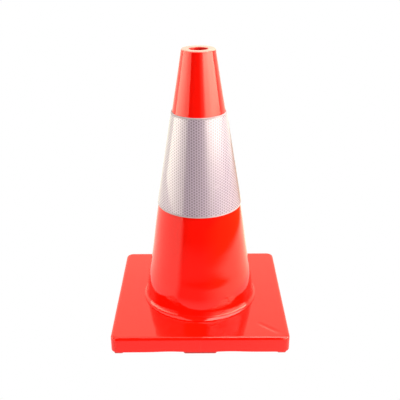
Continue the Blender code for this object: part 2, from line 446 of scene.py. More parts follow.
@dataclass(frozen=True)
class PrismaticFilm:
    """Prismatic reflective film: six-sided cells of tiny mirrors between pale weld ribs.

    Attributes:
        name: The material's name.
        pitch: The distance between neighbouring cells.
        rib: The width of the weld ribs.
        cell: The colour of the mirrors.
        ribs: The colour of the ribs.
        dimple: The shade in the middle of a cell.
        streak: The shade of the streaks up the film.
        cloud: The shade of its slow patches.
        smudge: The shade of its smudges.
        mirror: How metallic the mirrors are.
    """

    name: str = "prismatic_film"
    pitch: float = 4.33 * MM
    rib: float = 1.1 * MM
    cell: Colour = (0.37, 0.285, 0.415)
    ribs: Colour = (0.50, 0.410, 0.565)
    dimple: Colour = (0.14, 0.095, 0.145)
    streak: Colour = (0.42, 0.340, 0.43)
    cloud: Colour = (0.45, 0.375, 0.47)
    smudge: Colour = (0.30, 0.24, 0.28)
    mirror: float = 0.26

    def lattice(self, graph: Graph, across: Value, along: Value) -> tuple[Value, Value]:
        """Finds the nearest cell of a six-sided lattice with upright columns.

        Args:
            graph: The graph to build in.
            across: The distance round the film.
            along: The distance up the film.

        Returns:
            How far the point is from the cell's middle towards its edge, and the same measured
            as a plain radius, both in metres.
        """
        column = self.pitch * math.cos(math.pi / 6)
        offsets = []
        for shift in (0.0, 0.5):
            x = abs((across + 2 * column * shift).wrapped(2 * column))
            y = abs((along + self.pitch * shift).wrapped(self.pitch))
            edge = y.most(x * math.cos(math.pi / 6) + y * 0.5)
            offsets.append((edge, (x * x + y * y) ** 0.5))
        return offsets[0][0].least(offsets[1][0]), offsets[0][1].least(offsets[1][1])

    def material(self) -> bpy.types.Material:
        """Builds the node material.

        Returns:
            The material.
        """
        material, graph = new_graph(self.name)
        place = graph.place()
        spread = graph.node("ShaderNodeUVMap", {"uv_map": "sheet"}).outputs[0]
        across, along, _ = graph.parts(spread)
        edge, middle = self.lattice(graph, across, along)
        half = self.pitch / 2
        ribs = edge.ramp(half - self.rib * 0.75, half - self.rib * 0.25)
        dimple = middle.ramp(self.pitch * 0.10, self.pitch * 0.30, 1.0, 0.0)
        streaks = graph.noise(graph.stretched(spread, (1.0, 0.10, 1.0)), 0.006, 2.0).ramp(0.35, 0.75)
        cloud = graph.noise(place, 0.030, 3.0, 0.6)
        smudge = graph.noise(place, 0.012, 4.0, 0.65, 0.6).ramp(0.60, 0.80)
        mirrors = graph.mixed(dimple * 0.45, self.cell, self.dimple)
        mirrors = graph.mixed(streaks * 0.5, mirrors, self.streak)
        base = graph.mixed(ribs, mirrors, self.ribs)
        base = graph.mixed(cloud * 0.25, base, self.cloud)
        base = graph.mixed(smudge * 0.20, base, self.smudge)
        rough = 0.24 + ribs * 0.18 + smudge * 0.12
        quilt = 1 - edge.ramp(half * 0.45, half)
        normal = graph.relief(cloud, 0.4 * MM, graph.relief(quilt, 0.05 * MM))
        coat = {"Coat Weight": 1.0, "Coat Roughness": 0.05, "Coat IOR": 1.55}
        graph.surface(base, rough, normal, {"Metallic": self.mirror - ribs * self.mirror, **coat})
        return material


# Mesh tools


def merged_copy(node: str) -> bmesh.types.BMesh:
    """Copies a CAD node's mesh and welds its triangles together.

    Args:
        node: The node's name.

    Returns:
        The copy.
    """
    mesh = bmesh.new()
    mesh.from_mesh(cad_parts[node].data)
    bmesh.ops.remove_doubles(mesh, verts=mesh.verts, dist=WELD)
    return mesh


def turned_section(node: str) -> Outline:
    """Reads the closed outline of a turned CAD node where it is cut along +X.

    Args:
        node: The node's name.

    Returns:
        The outline as (radius, height) points, in order round the solid.
    """
    mesh = merged_copy(node)
    cut = [vert for vert in mesh.verts if abs(vert.co.y) < WELD and vert.co.x > 0]
    outline = [max(cut, key=lambda vert: (vert.co.z, vert.co.x))]
    members = set(cut)
    while True:
        near = [edge.other_vert(outline[-1]) for edge in outline[-1].link_edges]
        onward = [vert for vert in near if vert in members and vert not in (*outline[-2:], *outline[1:])]
        if len(outline) > 2 and outline[0] in near:
            break
        outline.append(min(onward, key=lambda vert: (vert.co.z - outline[-1].co.z, vert.co.x)))
    points = [(vert.co.x, vert.co.z) for vert in outline]
    mesh.free()
    return points


def eased(share: float) -> float:
    """Runs from 0 to 1 with no slope at either end."""
    share = min(max(share, 0.0), 1.0)
    return share * share * (3 - 2 * share)


def refined(outline: Outline, step: float) -> Outline:
    """Adds points along a closed outline, on smooth curves wherever it bends gently.

    Args:
        outline: The points of the outline.
        step: The longest distance wanted between points.

    Returns:
        The finer outline.
    """
    points = [Vector(point) for point in outline]
    count = len(points)
    legs = [points[(i + 1) % count] - points[i] for i in range(count)]
    tangents: list[tuple[Vector, Vector]] = []
    for i, leg in enumerate(legs):
        before = legs[i - 1]
        if before.angle(leg) > REAL_CORNER:
            tangents.append((before.normalized(), leg.normalized()))
        else:
            shared = (before.normalized() * leg.length + leg.normalized() * before.length).normalized()
            tangents.append((shared, shared))
    finer: Outline = []
    lowest, highest = min(point.y for point in points), max(point.y for point in points)
    for i, leg in enumerate(legs):
        leaving, arriving = tangents[i][1], tangents[(i + 1) % count][0]
        bent = leaving.angle(arriving) > STRAIGHT
        pieces = max(math.ceil(leg.length / step), 3 if bent else 1)
        for j in range(pieces):
            t = j / pieces
            start, end = (1 + 2 * t) * (1 - t) ** 2, t * t * (3 - 2 * t)
            swing = t * (1 - t) ** 2 * leaving - t * t * (1 - t) * arriving
            spot = start * points[i] + end * points[(i + 1) % count] + swing * leg.length
            finer.append((spot.x, min(max(spot.y, lowest), highest)))
    return finer


def spun(outline: Outline, steps: int) -> bmesh.types.BMesh:
    """Turns a closed outline all the way round the vertical axis.

    Args:
        outline: The (radius, height) points.
        steps: The number of steps in the turn.

    Returns:
        The closed shell.
    """
    mesh = bmesh.new()
    verts = [mesh.verts.new((radius, 0.0, height)) for radius, height in outline]
    edges = [mesh.edges.new(pair) for pair in zip(verts, verts[1:] + verts[:1])]
    bmesh.ops.spin(
        mesh, geom=verts + edges, cent=(0, 0, 0), axis=(0, 0, 1), angle=math.tau, steps=steps, use_merge=True
    )
    bmesh.ops.remove_doubles(mesh, verts=mesh.verts, dist=WELD)
    bmesh.ops.recalc_face_normals(mesh, faces=mesh.faces)
    return mesh


def waved(
    mesh: bmesh.types.BMesh, depth: float, size: float, share: Callable[[Vector], float], seed: float
) -> None:
    """Draws a wall in by a slowly changing distance, as soft plastic sets.

    Args:
        mesh: The mesh to move.
        depth: The largest distance moved.
        size: The size of one wave.
        share: How much of the depth a point takes, from 0 to 1.
        seed: Where in the pattern the piece lies.
    """
    for vert in mesh.verts:
        level = Vector((vert.co.x, vert.co.y, 0.0))
        amount = share(vert.co)
        if amount > 0 and level.length > WELD:
            wave = (noise.noise((vert.co + Vector((seed, 0.0, 0.0))) / size) - 1) / 2
            vert.co += level.normalized() * wave * depth * amount


def widened(mesh: bmesh.types.BMesh, edges: Edges) -> tuple[Edges, Verts]:
    """Extrudes a ring of edges in place.

    Args:
        mesh: The mesh.
        edges: The ring.

    Returns:
        The new ring's edges and points.
    """
    raised = bmesh.ops.extrude_edge_only(mesh, edges=edges)["geom"]
    verts = [part for part in raised if isinstance(part, bmesh.types.BMVert)]
    return [part for part in raised if isinstance(part, bmesh.types.BMEdge)], verts


def with_number(
    mesh: bmesh.types.BMesh, name: str, number: Callable[[bmesh.types.BMVert], float]
) -> None:
    """Keeps a number on each of a mesh's points for its finish to read.

    Args:
        mesh: The mesh.
        name: The name of the attribute.
        number: Works out the number at a point.
    """
    layer = mesh.verts.layers.float.new(name)
    for vert in mesh.verts:
        vert[layer] = number(vert)


def linked(name: str, data: bpy.types.ID) -> bpy.types.Object:
    """Puts an object with this data into the scene.

    Args:
        name: The object's name.
        data: Its mesh or camera.

    Returns:
        The object.
    """
    made = bpy.data.objects.new(name, data)
    bpy.context.scene.collection.objects.link(made)
    return made


def meshed(name: str, mesh: bmesh.types.BMesh, material: bpy.types.Material) -> bpy.types.Mesh:
    """Turns a working mesh into mesh data with a finish.

    Args:
        name: The data's name.
        mesh: The working mesh, which is used up.
        material: The finish.

    Returns:
        The data.
    """
    data = bpy.data.meshes.new(name)
    mesh.to_mesh(data)
    mesh.free()
    data.materials.append(material)
    return data


def staged(name: str, mesh: bmesh.types.BMesh, material: bpy.types.Material) -> bpy.types.Object:
    """Makes a part of the stage, which isn't part of the object.

    Args:
        name: Its name.
        mesh: Its mesh, which is used up.
        material: Its finish.

    Returns:
        The part.
    """
    part = linked(name, meshed(name, mesh, material))
    return part


def finished(
    name: str,
    mesh: bmesh.types.BMesh,
    body: Body,
    material: bpy.types.Material,
    replaces: Sequence[str] = (),
) -> None:
    """Makes the piece of a mesh, dresses it and fixes it to its body.

    Args:
        name: The piece's name.
        mesh: Its mesh, which is used up.
        body: The body that it rides on.
        material: Its finish.
        replaces: The CAD nodes that it stands for.
    """
    data = meshed(name, mesh, material)
    data.shade_smooth()
    data.set_sharp_from_angle(angle=SHARP_EDGE)
    piece = linked(name, data)
    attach(piece, body.value)
    for node in replaces:
        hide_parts(node)
    LOG.info("%s: %d faces, on %s", name, len(data.polygons), body.value)


# Sub-assemblies


@dataclass
class ConeShell:
    """The turned PVC cone, with the flare round its foot and the lip at its tip.

    Attributes:
        finish: The plastic.
        steps: The steps of the turn.
        step: The longest step along the outline.
        wave_depth: How far the wall wanders from true.
        wave_size: The size of one wander.
        true_end: How much of the wall at each end stays true.
        worn: The strength of the painted highlight at the lip, and of the wear at the flare's edge.
    """

    finish: GlossyPvc
    steps: int = 240
    step: float = 6 * MM
    wave_depth: float = 0.30 * MM
    wave_size: float = 85 * MM
    true_end: float = 12 * MM
    worn: float = 0.3

    def build(self) -> bmesh.types.BMesh:
        """Turns the wall and lets it wander a little.

        Returns:
            The mesh.
        """
        low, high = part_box("cone_shell")
        outline = refined(turned_section("cone_shell"), self.step)
        mesh = spun(outline, self.steps)
        foot, tip, fade = low.z + self.true_end, high.z - self.true_end, 30 * MM

        def share(point: Vector) -> float:
            """Full on the wall, nothing at the seat or at the lip."""
            return eased((point.z - foot) / fade) * eased((tip - point.z) / fade)

        waved(mesh, self.wave_depth, self.wave_size, share, seed=3.1)
        return mesh

    def dress(self, mesh: bmesh.types.BMesh) -> None:
        """Marks the inside, the worn flare edge and the painted highlight on the lip, and makes the piece.

        Args:
            mesh: The finished mesh.
        """
        low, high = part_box("cone_shell")

        def inside(vert: bmesh.types.BMVert) -> float:
            """One where the wall faces the axis."""
            level = Vector((vert.co.x, vert.co.y, 0.0))
            return 1.0 if vert.normal.dot(level.normalized()) < -0.2 else 0.0

        def wear(vert: bmesh.types.BMVert) -> float:
            """Painted highlight at the lip, and some wear at the flare's edge."""
            above = eased((vert.co.z - high.z + 4 * MM) / (3 * MM))
            return self.worn * (above + eased((low.z + 2 * MM - vert.co.z) / (2 * MM)))

        def lip_highlight_share(vert: bmesh.types.BMVert) -> float:
            """One on the lip's face, where the pale highlight is painted."""
            return eased((vert.co.z - high.z + 1.8 * MM) / (1.2 * MM))

        mesh.normal_update()
        for number in (inside, wear, lip_highlight_share):
            with_number(mesh, number.__name__, number)
        finished("cone_wall", mesh, Body.CONE, self.finish.material(), ["cone_shell"])


def quarter(steps: int) -> list[float]:
    """The angles of a quarter turn taken in steps, without the first."""
    return [math.pi / 2 * i / steps for i in range(1, steps + 1)]


@dataclass
class SquareRing:
    """Where the points of one ring of the base lie: on a circle, on a rounded square or between.

    Attributes:
        height: The ring's height.
        radius: The radius of its circle.
        inset: How far its square lies inside the base's faces.
        share: 0 for the circle, 1 for the square.
        edge: How strongly the ring follows the wavy lower edge.
    """

    height: float
    radius: float = 0.0
    inset: float = 0.0
    share: float = 1.0
    edge: float = 0.0


@dataclass
class BaseCover:
    """The moulded square skin of the base: flat top, rounded rim, skirt and inner neck.

    Attributes:
        finish: The plastic.
        corner: The radius of the corners, seen from above.
        rim: The radius of the rim.
        hem: The radius of the skirt's lower edge.
        side_points: The points along each straight side.
        corner_points: The steps round each corner.
        edge_wave: How far the skirt's lower edge rises beside the middle feet.
        edge_place: How far from the middle of a side it rises most.
        edge_width: How wide that rise is.
        corner_drop: How far it drops at the corners, as a share of the rise.
        wave_depth: How far the skin wanders from true.
        wave_size: The size of one wander.
        true_top: How far from the middle the top stays true, for the cone to sit on.
        fillet: The chamfer of the skin's hidden edges.
        worn: The wear on the rim and on the lower edge.
        inset: How far the skirt lies inside the CAD faces, to leave room for the parting line.
        crease_start: The outer end of the dent in the top.
        crease_end: Its inner end.
    """

    finish: GlossyPvc
    corner: float = 12 * MM
    rim: float = 4.8 * MM
    hem: float = 0.8 * MM
    side_points: int = 60
    corner_points: int = 10
    edge_wave: float = 1.1 * MM
    edge_place: float = 48 * MM
    edge_width: float = 22 * MM
    corner_drop: float = 0.15
    wave_depth: float = 0.20 * MM
    wave_size: float = 70 * MM
    true_top: float = 105 * MM
    fillet: float = 2 * MM
    worn: tuple[float, float] = (0.35, 0.6)
    inset: float = 0.3 * MM
    crease_start: tuple[float, float] = (0.1225, -0.1245)
    crease_end: tuple[float, float] = (0.0940, -0.0990)
    half: float = field(init=False)
    low: float = field(init=False)
    high: float = field(init=False)

    def __post_init__(self) -> None:
        """Reads the cover's box."""
        low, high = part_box("base_cover")
        self.half, self.low, self.high = high.x - self.inset, low.z, high.z

    def stations(self) -> list[tuple[Vector, Vector]]:
        """The points of a ring.

        Returns:
            A core point and an outward direction for each, in order round the base.
        """
        core = self.half - self.corner
        found = []
        for side in range(4):
            turn = Euler((0, 0, side * math.pi / 2)).to_matrix()
            for i in range(self.side_points):
                along = core * (2 * i / self.side_points - 1)
                found.append((turn @ Vector((along, -core, 0)), turn @ Vector((0, -1, 0))))
            for i in range(self.corner_points):
                angle = math.pi / 2 * i / self.corner_points
                out = Vector((math.sin(angle), -math.cos(angle), 0))
                found.append((turn @ Vector((core, -core, 0)), turn @ out))
        return found

    def hem_lift(self, core: Vector) -> float:
        """Lifts the lower edge beside the middle feet and drops it near the corners.

        Args:
            core: A point on the inner square.

        Returns:
            How far the edge rises there.
        """
        along = min(abs(core.x), abs(core.y))
        rise = math.exp(-(((along - self.edge_place) / self.edge_width) ** 2))
        return self.edge_wave * (rise - self.corner_drop * (along / (self.half - self.corner)) ** 4)

    def rings(self) -> list[SquareRing]:
        """Lists the rings from the opening out over the top, down the skirt and back inside.

        Returns:
            The rings, the last the same as the first.
        """
        points = [vert.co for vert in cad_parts["base_cover"].data.vertices]
        radii = sorted({round(math.hypot(point.x, point.y), 6) for point in points})
        opening = radii[0]
        neck_in = next(radius for radius in radii if radius > opening + 4 * MM)
        neck_out = next(radius for radius in radii if radius > neck_in + 2 * MM)
        skin = round(max(point.z for point in points if point.z < self.high - self.rim / 2), 5)
        wall = self.high - skin
        found = [SquareRing(self.high, opening, share=0.0)]
        spans, blend, circle = 22, 0.35, opening + 10 * MM
        for i in range(1, spans + 1):
            share = i / spans
            found.append(SquareRing(self.high, circle, self.rim, eased(share) * blend + share * (1 - blend)))
        for angle in quarter(5):
            drop, pull = self.rim * (1 - math.cos(angle)), self.rim * (1 - math.sin(angle))
            found.append(SquareRing(self.high - drop, inset=pull))
        top, bottom, spans = self.high - self.rim, self.low + self.hem, 6
        for i in range(1, spans + 1):
            found.append(SquareRing(top + (bottom - top) * i / spans, edge=(i / spans) ** 2))
        for angle in quarter(3):
            rise, pull = self.hem * (1 - math.sin(angle)), self.hem * (1 - math.cos(angle))
            found.append(SquareRing(self.low + rise, inset=pull, edge=1))
        found.append(SquareRing(self.low, inset=wall, edge=1))
        found.append(SquareRing(skin - self.fillet, inset=wall))
        spans = 8
        for i in range(spans + 1):
            found.append(SquareRing(skin, neck_out, wall + self.fillet, 1 - i / spans))
        for height, radius in (
            (self.low, neck_out),
            (self.low, neck_in),
            (skin, neck_in),
            (skin, opening),
            (self.high, opening),
        ):
            found.append(SquareRing(height, radius, share=0.0))
        return found

    def spot(self, ring: SquareRing, core: Vector, out: Vector) -> Vector:
        """Places one point of a ring.

        Args:
            ring: The ring.
            core: The point's core on the inner square.
            out: Its outward direction.

        Returns:
            The point.
        """
        square = core + out * (self.corner - min(ring.inset, self.corner))
        if ring.inset > self.corner:
            square -= core.normalized() * (ring.inset - self.corner)
        circle = Vector((square.x, square.y, 0)).normalized() * ring.radius
        point = circle.lerp(square, ring.share)
        point.z = ring.height + ring.edge * self.hem_lift(core)
        return point

    def loft(self, rings: Sequence[SquareRing]) -> bmesh.types.BMesh:
        """Extrudes a ring of edges from each ring to the next, and closes the last on the first.

        Args:
            rings: The rings, the last the same as the first.

        Returns:
            The closed mesh.
        """
        stations = self.stations()
        mesh = bmesh.new()
        ring = bmesh.ops.create_circle(mesh, segments=len(stations), radius=1.0)["verts"]
        edges = list(mesh.edges)
        for number, shape in enumerate(rings):
            if number:
                edges, verts = widened(mesh, edges)
                fresh = set(verts)
                ring = [
                    next(edge.other_vert(old) for edge in old.link_edges if edge.other_vert(old) in fresh)
                    for old in ring
                ]
            for vert, (core, out) in zip(ring, stations):
                vert.co = self.spot(shape, core, out)
        bmesh.ops.remove_doubles(mesh, verts=mesh.verts, dist=WELD)
        bmesh.ops.recalc_face_normals(mesh, faces=mesh.faces)
        return mesh

    def build(self) -> bmesh.types.BMesh:
        """Lofts the cover, then adds the parting lines, the dent and the slow waves.

        Returns:
            The mesh.
        """
        mesh = self.loft(self.rings())
        self.add_parting_lines(mesh)
        self.add_crease(mesh)

        def share(point: Vector) -> float:
            """Nothing at the seat, full on the skirt."""
            return eased((max(abs(point.x), abs(point.y)) - self.true_top) / (30 * MM))

        waved(mesh, self.wave_depth, self.wave_size, share, seed=11.3)
        return mesh

    def add_parting_lines(
        self, mesh: bmesh.types.BMesh, width: float = 1.1 * MM, proud: float = 0.3 * MM
    ) -> None:
        """Raises the mould's parting line up the middle of the front and back of the skirt.

        Args:
            mesh: The cover.
            width: The width of the line's foot.
            proud: How far it stands out.
        """
        fade = 2 * MM
        for side in (-width / 2, 0.0, width / 2):
            everything = [*mesh.verts, *mesh.edges, *mesh.faces]
            across = {"plane_co": (side, 0, 0), "plane_no": (1, 0, 0)}
            bmesh.ops.bisect_plane(mesh, geom=everything, dist=WELD, **across)
        for vert in mesh.verts:
            if abs(vert.co.x) < WELD and abs(vert.co.y) > self.half - self.rim:
                rise = eased((self.high - 1.5 * MM - vert.co.z) / fade) * eased((vert.co.z - self.low) / fade)
                vert.co.y += math.copysign(proud * rise, vert.co.y)

    def add_crease(self, mesh: bmesh.types.BMesh, depth: float = 1 * MM, width: float = 4 * MM) -> None:
        """Presses the short slanting dent into the top near the front right corner.

        Args:
            mesh: The cover.
            depth: The depth of the dent.
            width: Half its width.
        """
        start, end = Vector((*self.crease_start, 0)), Vector((*self.crease_end, 0))
        line = end - start

        def away(point: Vector) -> tuple[float, float]:
            """Finds where a point of the top lies beside the dent's line.

            Args:
                point: The point.

            Returns:
                The distance from the line, with its side, and the share along it.
            """
            level = Vector((point.x, point.y, 0)) - start
            share = level.dot(line) / line.length_squared
            nearest = line * min(max(share, 0.0), 1.0)
            side = math.copysign(1.0, line.cross(level).z)
            return (level - nearest).length * side, share

        for _ in range(2):
            near = [
                edge
                for edge in mesh.edges
                if all(vert.co.z > self.high - WELD for vert in edge.verts)
                and abs(away((edge.verts[0].co + edge.verts[1].co) / 2)[0]) < 2.5 * width
            ]
            bmesh.ops.subdivide_edges(mesh, edges=near, cuts=1, use_grid_fill=True)
        for vert in mesh.verts:
            if vert.co.z > self.high - WELD:
                gap, share = away(vert.co)
                fade = eased(1 - abs(gap) / (1.5 * width))
                vert.co.z -= depth * fade * eased(1.4 - abs(share - 0.5) * 2)

    def dress(self, mesh: bmesh.types.BMesh) -> None:
        """Marks the hidden side and the worn rim, and makes the piece.

        Args:
            mesh: The finished mesh.
        """

        def inside(vert: bmesh.types.BMVert) -> float:
            """One on the faces that look down or in."""
            outward = max(abs(vert.co.x), abs(vert.co.y)) > self.half - 1.5 * MM
            return 0.0 if outward or vert.normal.z > 0.2 else 1.0

        def wear(vert: bmesh.types.BMVert) -> float:
            """Finds how worn a point is: some along the rim, most along the lower edge.

            Args:
                vert: The point.

            Returns:
                The wear, from 0 to 1.
            """
            start, fade = 6 * MM, 4 * MM
            reach = max(abs(vert.co.x), abs(vert.co.y))
            rim = eased((reach - self.half + start) / fade) * eased((vert.co.z - self.high + start) / fade)
            return max(self.worn[0] * rim, self.worn[1] * eased((self.low + fade - vert.co.z) / fade))

        mesh.normal_update()
        for number in (inside, wear):
            with_number(mesh, number.__name__, number)
        finished("base_skin", mesh, Body.CONE, self.finish.material(), ["base_cover"])


@dataclass
class BaseFloor:
    """The plate that closes the base from below, with the feet moulded on it.

    Attributes:
        finish: The plastic.
        corner: The radius of its corners, seen from above.
        reach: How far outside the opening each ring of points lies.
        sunk: The rings of points that are pressed in to stiffen the plate.
        ring_depth: How deep they are pressed.
        foot_round: The radius of a foot's upright edges.
        ground_round: The radius of its edge at the ground.
        ramp: How far a foot's face is drawn in at the ground.
        end_ramp: The same for the ends of a long foot, as a share of its length.
    """

    finish: GlossyPvc
    corner: float = 8.7 * MM
    reach: tuple[float, ...] = (4 * MM, 6 * MM, 10 * MM, 12 * MM, 18 * MM, 20 * MM)
    sunk: tuple[int, ...] = (1, 2, 5)
    ring_depth: float = 0.9 * MM
    foot_round: float = 3 * MM
    ground_round: float = 0.5 * MM
    ramp: float = 0.5 * MM
    end_ramp: float = 0.08

    def feet(self) -> list[tuple[Vector, Vector]]:
        """Finds the feet in the CAD plate.

        Returns:
            The lowest and the highest corner of each foot.
        """
        mesh = merged_copy("base_floor")
        low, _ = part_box("base_floor")
        loose = {vert for vert in mesh.verts if vert.co.z < low.z + WELD}
        found = []
        while loose:
            group = [loose.pop()]
            for vert in group:
                joined = {edge.other_vert(vert) for edge in vert.link_edges} & loose
                loose -= joined
                group += joined
            spans = list(zip(*(vert.co for vert in group)))
            found.append((Vector(map(min, spans)), Vector(map(max, spans))))
        mesh.free()
        return sorted(found, key=lambda foot: (round(foot[0].y, 4), round(foot[0].x, 4)))

    def plate_low(self) -> float:
        """The height of the plate's lower face, which is above the feet's."""
        low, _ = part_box("base_floor")
        return min(v.co.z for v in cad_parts["base_floor"].data.vertices if v.co.z > low.z + MM)

    def build(self) -> bmesh.types.BMesh:
        """Copies the plate's outline and presses the stiffening rings into it.

        Returns:
            The mesh.
        """
        _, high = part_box("base_floor")
        plate, outer = self.plate_low(), high.x
        inner = min(math.hypot(v.co.x, v.co.y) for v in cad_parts["base_floor"].data.vertices)
        mesh = bmesh.new()
        ring = bmesh.ops.create_circle(mesh, segments=144, radius=inner)["verts"]
        bmesh.ops.translate(mesh, verts=ring, vec=(0, 0, plate))
        edges = list(mesh.edges)
        for number, reach in enumerate((*self.reach, None)):
            edges, verts = widened(mesh, edges)
            sunk = self.ring_depth if number in self.sunk else 0.0
            for vert in verts:
                level = Vector((vert.co.x, vert.co.y, 0)).normalized()
                side = outer / max(abs(level.x), abs(level.y))
                square = min(side, (outer - self.corner) * math.sqrt(2) + self.corner)
                vert.co = level * (square if reach is None else inner + reach) + Vector((0, 0, plate + sunk))
        bmesh.ops.solidify(mesh, geom=mesh.faces[:], thickness=-(high.z - plate))
        bmesh.ops.recalc_face_normals(mesh, faces=mesh.faces)
        return mesh

    def build_foot(self, low: Vector, high: Vector) -> bmesh.types.BMesh:
        """Makes one foot with rounded upright edges and faces that draw in to the ground.

        Args:
            low: Its lowest corner.
            high: Its highest corner, at the ground.

        Returns:
            The mesh.
        """
        mesh = bmesh.new()
        cube = bmesh.ops.create_cube(mesh, size=1.0)["verts"]
        top = Vector((high.x, high.y, self.plate_low()))
        size, middle = top - low, (low + top) / 2
        bmesh.ops.scale(mesh, verts=cube, vec=size)
        bmesh.ops.translate(mesh, verts=cube, vec=middle)
        upright = [edge for edge in mesh.edges if abs(edge.verts[0].co.z - edge.verts[1].co.z) > size.z / 2]
        bmesh.ops.bevel(
            mesh, geom=upright, offset=self.foot_round, segments=6, profile=0.5, affect="EDGES", material=-1
        )
        for vert in mesh.verts:
            if vert.co.z < low.z + WELD:
                for axis in (0, 1):
                    long = size[axis] > 2 * size[1 - axis]
                    ramp = size[axis] * self.end_ramp if long else self.ramp
                    vert.co[axis] -= (vert.co[axis] - middle[axis]) * ramp / (size[axis] / 2)
        ground = [edge for edge in mesh.edges if all(vert.co.z < low.z + WELD for vert in edge.verts)]
        bmesh.ops.bevel(
            mesh, geom=ground, offset=self.ground_round, segments=3, profile=0.5, affect="EDGES", material=-1
        )
        return mesh

    def dress(self, mesh: bmesh.types.BMesh) -> None:
        """Makes the plate's piece and the feet.

        Args:
            mesh: The plate.
        """
        material, worn = self.finish.material(), 3 * MM
        finished("base_pan", mesh, Body.CONE, material, ["base_floor"])
        for number, (low, high) in enumerate(self.feet(), start=1):
            foot = self.build_foot(low, high)
            with_number(foot, "wear", lambda vert: eased((worn - vert.co.z) / worn))
            finished(f"foot_{number}", foot, Body.CONE, material)


@dataclass
class Ballast:
    """The weight inside the base."""

    finish: BallastCompound

    def dress(self) -> None:
        """Gives the CAD ring its compound."""
        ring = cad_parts["ballast"]
        ring.data.materials.clear()
        ring.data.materials.append(self.finish.material())
        LOG.info("ballast: the CAD ring, on %s", Body.CONE.value)


@dataclass
class Collar:
    """The loose reflective sleeve: a white sheet with prismatic film welded on it.

    Attributes:
        sheet: The sheet's finish.
        film: The film's finish.
        steps: The steps of the turn.
        weld_width: The width of the weld bead along each edge.
        weld_height: How far the bead stands out of the sheet.
        weld_sink: How far it is sunk into the sheet.
        lap: The width of the lap where the sleeve is closed at the back.
        lap_height: How far the lap stands out.
    """

    sheet: CollarSheet
    film: PrismaticFilm
    steps: int = 240
    weld_width: float = 2.1 * MM
    weld_height: float = 0.55 * MM
    weld_sink: float = 0.2 * MM
    lap: float = 11 * MM
    lap_height: float = 0.45 * MM

    def add_lap(self, mesh: bmesh.types.BMesh) -> None:
        """Raises the lapped end of the film at the back.

        Args:
            mesh: The film, as a closed turned wall.
        """
        for vert in mesh.verts:
            level = Vector((vert.co.x, vert.co.y, 0))
            if abs(math.atan2(vert.co.x, vert.co.y) * level.length) < self.lap / 2:
                vert.co += level.normalized() * self.lap_height

    def unroll(self, mesh: bmesh.types.BMesh, outline: Outline) -> None:
        """Lays the film flat for its cell pattern, with the middle of the front upright.

        Args:
            mesh: The film.
            outline: Its section.
        """
        low_radius, low = min(outline, key=lambda point: point[1])
        high_radius, high = max(outline, key=lambda point: point[1])
        slope = (low_radius - high_radius) / (high - low)
        apex = high + high_radius / slope
        lean = math.sin(math.atan(slope))
        sheet = mesh.loops.layers.uv.new("sheet")
        for face in mesh.faces:
            middle = face.calc_center_median()
            facing = math.atan2(middle.x, -middle.y)
            for loop in face.loops:
                point = loop.vert.co
                angle = math.atan2(point.x, -point.y)
                angle += math.tau * round((facing - angle) / math.tau)
                length = math.hypot(math.hypot(point.x, point.y), apex - point.z)
                loop[sheet].uv = (length * math.sin(angle * lean), -length * math.cos(angle * lean))

    def build_weld(self, radius: float, height: float, lean: float) -> bmesh.types.BMesh:
        """Turns the flat bead along one edge.

        Args:
            radius: The radius of the sheet's outer face at the bead's middle.
            height: The height of the bead's middle.
            lean: How much the radius grows for each metre down.

        Returns:
            The mesh.
        """
        outline, count = [], 10
        for i in range(count):
            angle = math.tau * i / count
            along, out = math.sin(angle) * self.weld_width / 2, math.cos(angle) * self.weld_height
            outline.append((radius + max(out, -self.weld_sink) - along * lean, height + along))
        return spun(outline, self.steps)

    def build(self) -> dict[str, bmesh.types.BMesh]:
        """Turns the sheet, the film and the two weld beads.

        Returns:
            The meshes, by the names of their pieces.
        """
        backing, film = turned_section("collar_backing"), turned_section("collar_film")
        sheet = spun(refined(backing, 10 * MM), self.steps)
        wrap = spun(refined(film, 6 * MM), self.steps)
        self.add_lap(wrap)
        self.unroll(wrap, film)
        low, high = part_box("collar_backing")
        bottom = max(radius for radius, height in backing if height < low.z + WELD)
        top = max(radius for radius, height in backing if height > high.z - WELD)
        lean = (bottom - top) / (high.z - low.z)
        lift = self.weld_width / 2
        return {
            "collar_sheet": sheet,
            "collar_film_wrap": wrap,
            "collar_weld_low": self.build_weld(bottom - lift * lean, low.z + lift, lean),
            "collar_weld_high": self.build_weld(top + lift * lean, high.z - lift, lean),
        }

    def dress(self, meshes: Mapping[str, bmesh.types.BMesh]) -> None:
        """Makes the collar's pieces.

        Args:
            meshes: Their meshes.
        """
        sheet, film = self.sheet.material(), self.film.material()
        stands_for = {"collar_sheet": ["collar_backing"], "collar_film_wrap": ["collar_film"]}
        for name, mesh in meshes.items():
            slot, material = Slot.COLLAR_WHITE, sheet
            if name == "collar_film_wrap":
                slot, material = Slot.COLLAR_FILM, film
            finished(name, mesh, Body.COLLAR, material, stands_for.get(name, []))


